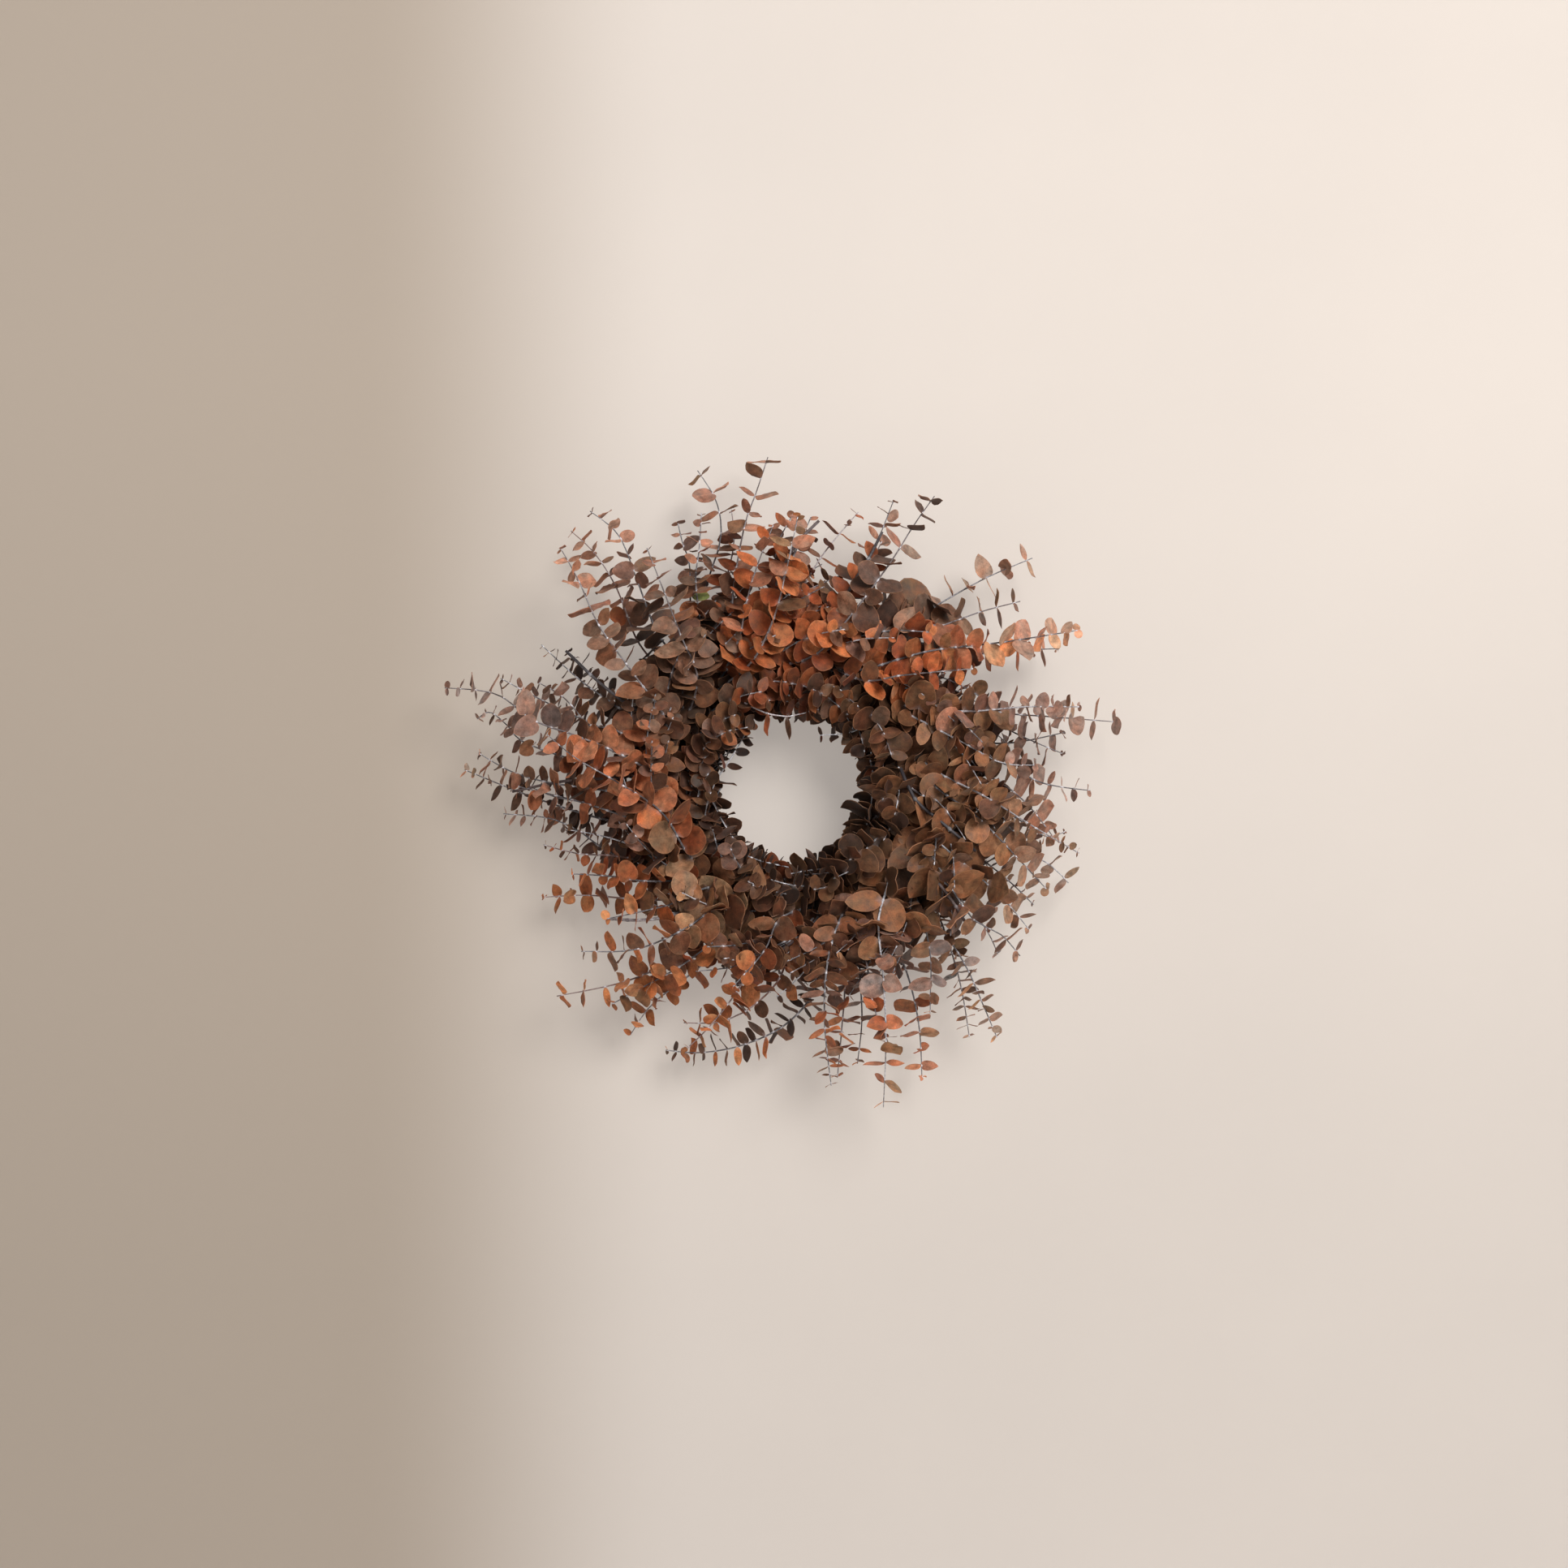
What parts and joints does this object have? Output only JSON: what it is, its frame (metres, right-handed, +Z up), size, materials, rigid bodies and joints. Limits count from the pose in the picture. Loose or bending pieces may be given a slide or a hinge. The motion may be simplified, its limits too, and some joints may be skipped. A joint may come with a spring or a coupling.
{
  "type": "eucalyptus wreath",
  "caption": "Round wreath of dried eucalyptus sprays bound with wire to a twisted vine ring, with an open middle and a wire hanging eye at the back of the top.",
  "frame": {"origin": "inside top of the hanging eye, where the wall hook carries it", "axes": "+X right and +Z up as seen from the front; the front faces -Y and the wall is at +Y"},
  "size_m": [0.615, 0.1241, 0.5915],
  "materials": {
    "vine": "dry bark",
    "wire": "dark annealed",
    "leaf_umber": "matt, dried and preserved leaves on waxy stems",
    "leaf_brown": "matt, dried and preserved leaves on waxy stems",
    "leaf_khaki": "matt, dried and preserved leaves on waxy stems",
    "leaf_rust": "matt, dried and preserved leaves on waxy stems",
    "leaf_mauve": "matt, dried and preserved leaves on waxy stems"
  },
  "bodies": {
    "root": {"binding_wire": "wire", "hanging_eye": "wire", "spray_00_front": "leaf_rust", "spray_00_outer": "leaf_brown", "spray_00_rim": "leaf_rust", "spray_00_upper": "leaf_umber", "spray_01_front": "leaf_brown", "spray_01_outer": "leaf_rust", "spray_01_rim": "leaf_rust", "spray_01_upper": "leaf_mauve", "spray_02_front": "leaf_khaki", "spray_02_outer": "leaf_mauve", "spray_02_rim": "leaf_khaki", "spray_02_upper": "leaf_khaki", "spray_03_front": "leaf_brown", "spray_03_outer": "leaf_khaki", "spray_03_rim": "leaf_khaki", "spray_03_upper": "leaf_brown", "spray_04_front": "leaf_khaki", "spray_04_outer": "leaf_brown", "spray_04_rim": "leaf_khaki", "spray_04_upper": "leaf_khaki", "spray_05_front": "leaf_brown", "spray_05_outer": "leaf_rust", "spray_05_rim": "leaf_rust", "spray_05_upper": "leaf_rust", "spray_06_front": "leaf_rust", "spray_06_outer": "leaf_umber", "spray_06_rim": "leaf_brown", "spray_06_upper": "leaf_rust", "spray_07_front": "leaf_brown", "spray_07_outer": "leaf_rust", "spray_07_rim": "leaf_brown", "spray_07_upper": "leaf_rust", "spray_08_front": "leaf_rust", "spray_08_outer": "leaf_rust", "spray_08_rim": "leaf_brown", "spray_08_upper": "leaf_mauve", "spray_09_front": "leaf_mauve", "spray_09_outer": "leaf_umber", "spray_09_rim": "leaf_mauve", "spray_09_upper": "leaf_brown", "spray_10_front": "leaf_brown", "spray_10_outer": "leaf_brown", "spray_10_rim": "leaf_umber", "spray_10_upper": "leaf_umber", "spray_11_front": "leaf_mauve", "spray_11_outer": "leaf_rust", "spray_11_rim": "leaf_brown", "spray_11_upper": "leaf_mauve", "spray_12_front": "leaf_khaki", "spray_12_outer": "leaf_brown", "spray_12_rim": "leaf_mauve", "spray_12_upper": "leaf_brown", "spray_13_front": "leaf_umber", "spray_13_outer": "leaf_rust", "spray_13_rim": "leaf_rust", "spray_13_upper": "leaf_brown", "vine_ring": "vine"}
  },
  "joints": []
}
